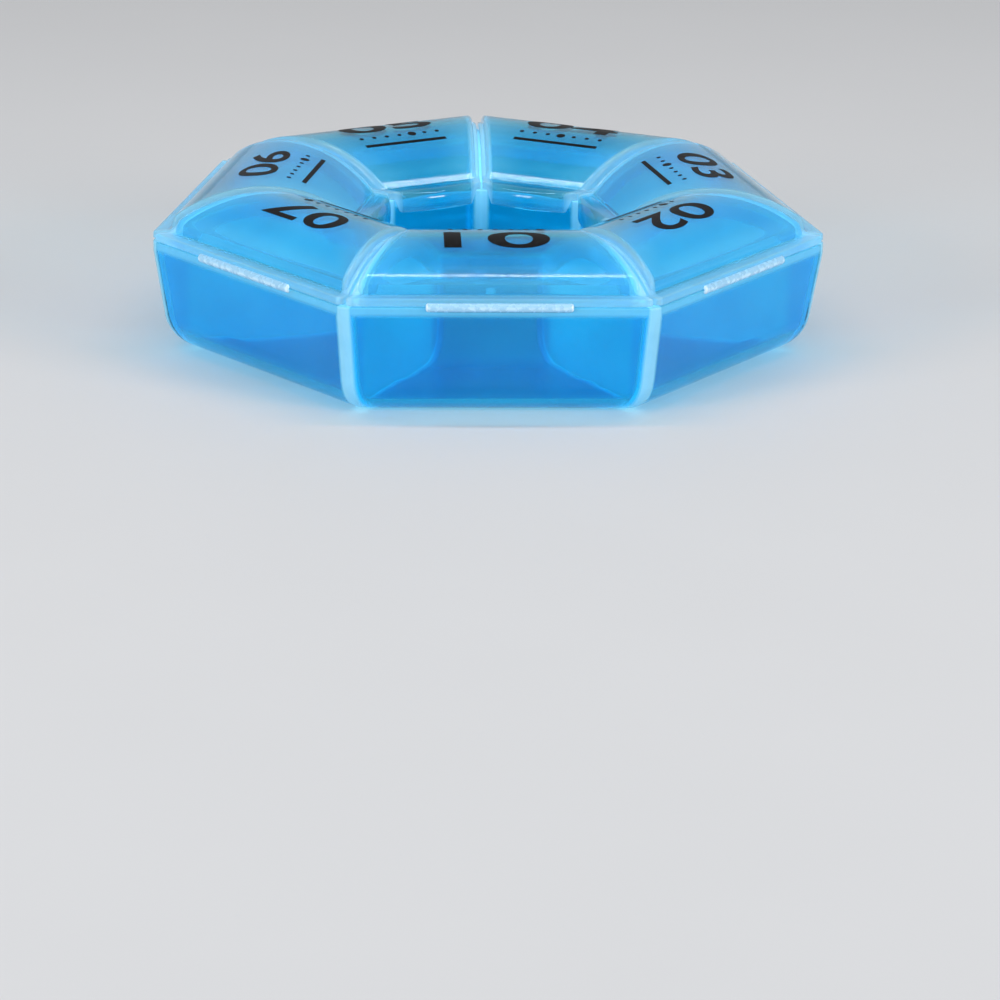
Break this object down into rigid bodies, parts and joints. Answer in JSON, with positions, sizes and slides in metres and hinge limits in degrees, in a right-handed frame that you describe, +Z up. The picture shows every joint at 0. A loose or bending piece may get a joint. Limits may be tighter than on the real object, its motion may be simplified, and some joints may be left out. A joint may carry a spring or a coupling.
{
  "type": "weekly pill box",
  "caption": "Seven-sided ring pill box in translucent blue plastic, with a vaulted lid on a film hinge over each compartment and an open middle.",
  "frame": {"origin": "on the ring's axis, level with the flat underside that it stands on", "axes": "+Z up along the ring's axis; -Y through the middle of lid 1; +X to the right when facing lid 1"},
  "size_m": [0.1048, 0.103, 0.0252],
  "materials": {
    "tray_plastic": "glossy translucent blue polypropylene",
    "lid_plastic": "glossy translucent blue polypropylene",
    "hinge_film": "fold-whitened blue polypropylene film"
  },
  "bodies": {
    "tray": {"tray": "tray_plastic", "hinge_1": "hinge_film", "hinge_2": "hinge_film", "hinge_3": "hinge_film", "hinge_4": "hinge_film", "hinge_5": "hinge_film", "hinge_6": "hinge_film", "hinge_7": "hinge_film"},
    "lid_1": {"lid_1": "lid_plastic"},
    "lid_2": {"lid_2": "lid_plastic"},
    "lid_3": {"lid_3": "lid_plastic"},
    "lid_4": {"lid_4": "lid_plastic"},
    "lid_5": {"lid_5": "lid_plastic"},
    "lid_6": {"lid_6": "lid_plastic"},
    "lid_7": {"lid_7": "lid_plastic"}
  },
  "joints": [
    {"name": "lid_1_hinge", "type": "hinge", "parent": "tray", "child": "lid_1", "pos_m": [0, -0.04925, 0.0179], "axis": [1, 0, 0], "range_deg": [0, 180], "deforming": ["hinge_1"]},
    {"name": "lid_2_hinge", "type": "hinge", "parent": "tray", "child": "lid_2", "pos_m": [0.03851, -0.03071, 0.0179], "axis": [0.6235, 0.7818, 0], "range_deg": [0, 180], "deforming": ["hinge_2"]},
    {"name": "lid_3_hinge", "type": "hinge", "parent": "tray", "child": "lid_3", "pos_m": [0.04802, 0.01096, 0.0179], "axis": [-0.2225, 0.9749, 0], "range_deg": [0, 180], "deforming": ["hinge_3"]},
    {"name": "lid_4_hinge", "type": "hinge", "parent": "tray", "child": "lid_4", "pos_m": [0.02137, 0.04437, 0.0179], "axis": [-0.901, 0.4339, 0], "range_deg": [0, 180], "deforming": ["hinge_4"]},
    {"name": "lid_5_hinge", "type": "hinge", "parent": "tray", "child": "lid_5", "pos_m": [-0.02137, 0.04437, 0.0179], "axis": [-0.901, -0.4339, 0], "range_deg": [0, 180], "deforming": ["hinge_5"]},
    {"name": "lid_6_hinge", "type": "hinge", "parent": "tray", "child": "lid_6", "pos_m": [-0.04802, 0.01096, 0.0179], "axis": [-0.2225, -0.9749, 0], "range_deg": [0, 180], "deforming": ["hinge_6"]},
    {"name": "lid_7_hinge", "type": "hinge", "parent": "tray", "child": "lid_7", "pos_m": [-0.03851, -0.03071, 0.0179], "axis": [0.6235, -0.7818, 0], "range_deg": [0, 180], "deforming": ["hinge_7"]}
  ]
}
